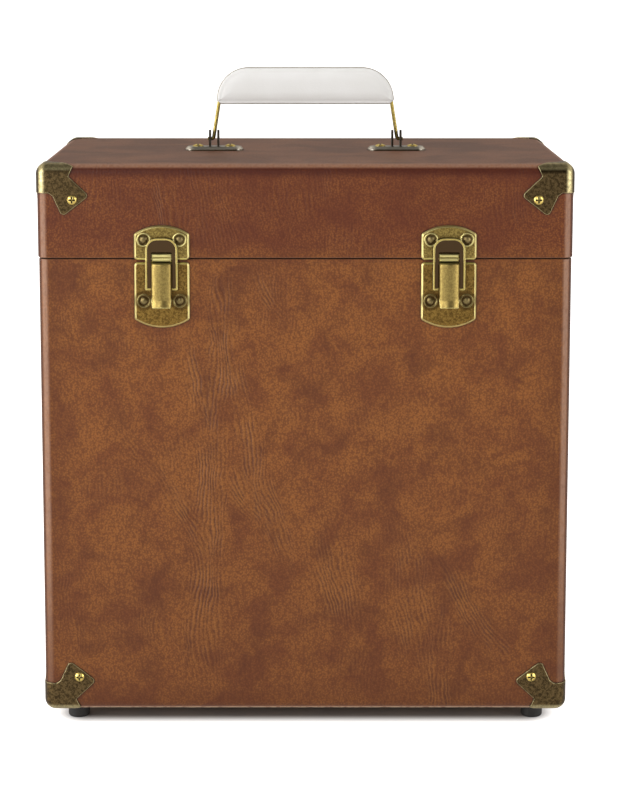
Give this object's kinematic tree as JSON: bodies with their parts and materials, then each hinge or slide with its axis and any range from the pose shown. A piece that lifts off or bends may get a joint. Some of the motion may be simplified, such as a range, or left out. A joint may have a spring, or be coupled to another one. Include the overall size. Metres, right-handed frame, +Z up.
{
  "type": "record carrying case",
  "caption": "Tall covered carrying case for twelve-inch records with a hinged lid, draw latches, a folding bail handle, metal corner caps and rubber feet.",
  "frame": {"origin": "on the surface that the feet stand on, under the middle of the whole object's box", "axes": "+Z up, -Y towards the front with the latches, +X to the right seen from the front"},
  "size_m": [0.3442, 0.2166, 0.4234],
  "materials": {
    "brown_leatherette": "satin, fine grain, mottled brown",
    "board": "matte fibreboard",
    "lining": "matte flocked paper",
    "collar": "matte, covered strip",
    "cap_brass": "dark antiqued",
    "latch_brass": "antiqued, bright on the edges",
    "rivet_brass": "antiqued",
    "screw_brass": "worn bright",
    "bracket_steel": "antiqued nickel, dark in the bends",
    "hinge_brass": "antiqued",
    "pin_steel": "drawn wire",
    "wire_brass": "drawn, satin",
    "grip_leatherette": "off-white, satin",
    "foot_rubber": "matte black"
  },
  "bodies": {
    "case_body": {"body_left_board": "board", "body_right_board": "board", "body_front_board": "board", "body_back_board": "board", "body_bottom_board": "board", "body_covering": "brown_leatherette", "body_lining": "lining", "locating_collar": "collar", "body_cap_front_left": "cap_brass", "body_cap_front_right": "cap_brass", "body_cap_back_left": "cap_brass", "body_cap_back_right": "cap_brass", "body_cap_screws": "screw_brass", "foot_front_left": "foot_rubber", "foot_front_right": "foot_rubber", "foot_back_left": "foot_rubber", "foot_back_right": "foot_rubber", "foot_screws": "pin_steel", "latch_base_left": "latch_brass", "latch_base_right": "latch_brass", "base_rivets_left": "rivet_brass", "base_rivets_right": "rivet_brass", "hinge_body_leaf_left": "hinge_brass", "hinge_body_leaf_right": "hinge_brass", "hinge_body_rivets_left": "hinge_brass", "hinge_body_rivets_right": "hinge_brass", "hinge_pin_left": "pin_steel", "hinge_pin_right": "pin_steel"},
    "lid": {"lid_left_board": "board", "lid_right_board": "board", "lid_front_board": "board", "lid_back_board": "board", "lid_top_board": "board", "lid_covering": "brown_leatherette", "lid_lining": "lining", "lid_cap_front_left": "cap_brass", "lid_cap_front_right": "cap_brass", "lid_cap_back_left": "cap_brass", "lid_cap_back_right": "cap_brass", "lid_cap_screws": "screw_brass", "latch_strike_left": "latch_brass", "latch_strike_right": "latch_brass", "strike_rivets_left": "rivet_brass", "strike_rivets_right": "rivet_brass", "handle_bracket_left": "bracket_steel", "handle_bracket_right": "bracket_steel", "handle_bracket_screws": "screw_brass", "hinge_lid_leaf_left": "hinge_brass", "hinge_lid_leaf_right": "hinge_brass", "hinge_lid_rivets_left": "hinge_brass", "hinge_lid_rivets_right": "hinge_brass"},
    "handle": {"handle_wire": "wire_brass", "handle_grip": "grip_leatherette"},
    "lever_left": {"latch_lever_left": "latch_brass", "latch_lever_pin_left": "pin_steel"},
    "loop_left": {"latch_loop_left": "latch_brass"},
    "lever_right": {"latch_lever_right": "latch_brass", "latch_lever_pin_right": "pin_steel"},
    "loop_right": {"latch_loop_right": "latch_brass"}
  },
  "joints": [
    {"name": "lid_hinge", "type": "hinge", "parent": "case_body", "child": "lid", "pos_m": [0, 0.10308, 0.3075], "axis": [-1, 0, 0], "range_deg": [0, 105]},
    {"name": "handle_swing", "type": "hinge", "parent": "lid", "child": "handle", "pos_m": [0, 0.00048, 0.3751], "axis": [1, 0, 0], "range_deg": [-94.5, 94.5]},
    {"name": "lever_left_lift", "type": "hinge", "parent": "case_body", "child": "lever_left", "pos_m": [-0.091, -0.10392, 0.3035], "axis": [-1, 0, 0], "range_deg": [0, 110]},
    {"name": "loop_left_swing", "type": "hinge", "parent": "lever_left", "child": "loop_left", "pos_m": [-0.091, -0.10252, 0.2889], "axis": [-1, 0, 0], "range_deg": [-143, 0]},
    {"name": "lever_right_lift", "type": "hinge", "parent": "case_body", "child": "lever_right", "pos_m": [0.091, -0.10392, 0.3035], "axis": [-1, 0, 0], "range_deg": [0, 110]},
    {"name": "loop_right_swing", "type": "hinge", "parent": "lever_right", "child": "loop_right", "pos_m": [0.091, -0.10252, 0.2889], "axis": [-1, 0, 0], "range_deg": [-143, 0]}
  ],
  "couplings": [
    {"joint": "loop_left_swing", "follows": "lever_left_lift", "ratio": -1.3},
    {"joint": "loop_right_swing", "follows": "lever_right_lift", "ratio": -1.3}
  ]
}
